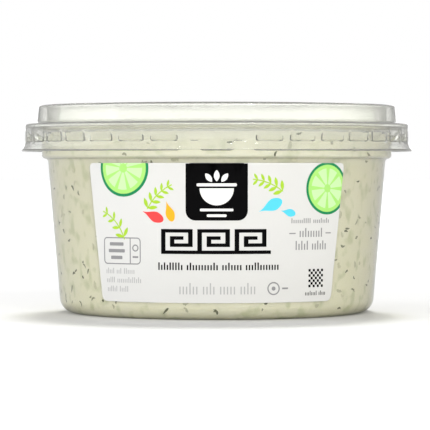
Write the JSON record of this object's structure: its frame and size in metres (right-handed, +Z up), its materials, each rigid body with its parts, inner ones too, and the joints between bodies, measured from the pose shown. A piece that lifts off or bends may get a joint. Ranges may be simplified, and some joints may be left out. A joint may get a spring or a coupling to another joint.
{
  "type": "tub of tzatziki dip",
  "caption": "Shut, clear, round plastic tub filled with pale tzatziki dip, with a clear press-fit lid and a printed front label. It stands on its flat foot.",
  "frame": {"origin": "on the tub's axis, in the plane of its foot", "axes": "+Z up along the tub's axis; the label faces -Y"},
  "size_m": [0.1092, 0.1092, 0.0576],
  "materials": {
    "tub_plastic": "clear, faintly hazy, glossy",
    "lid_plastic": "clear, thin pressed sheet, glossy",
    "label_print": "smooth white film with flat ink colours",
    "dip": "creamy pale green-white food with dark green flecks, softly glossy"
  },
  "bodies": {
    "root": {"tub": "tub_plastic", "lid": "lid_plastic", "label": "label_print", "dip": "dip"}
  },
  "joints": []
}
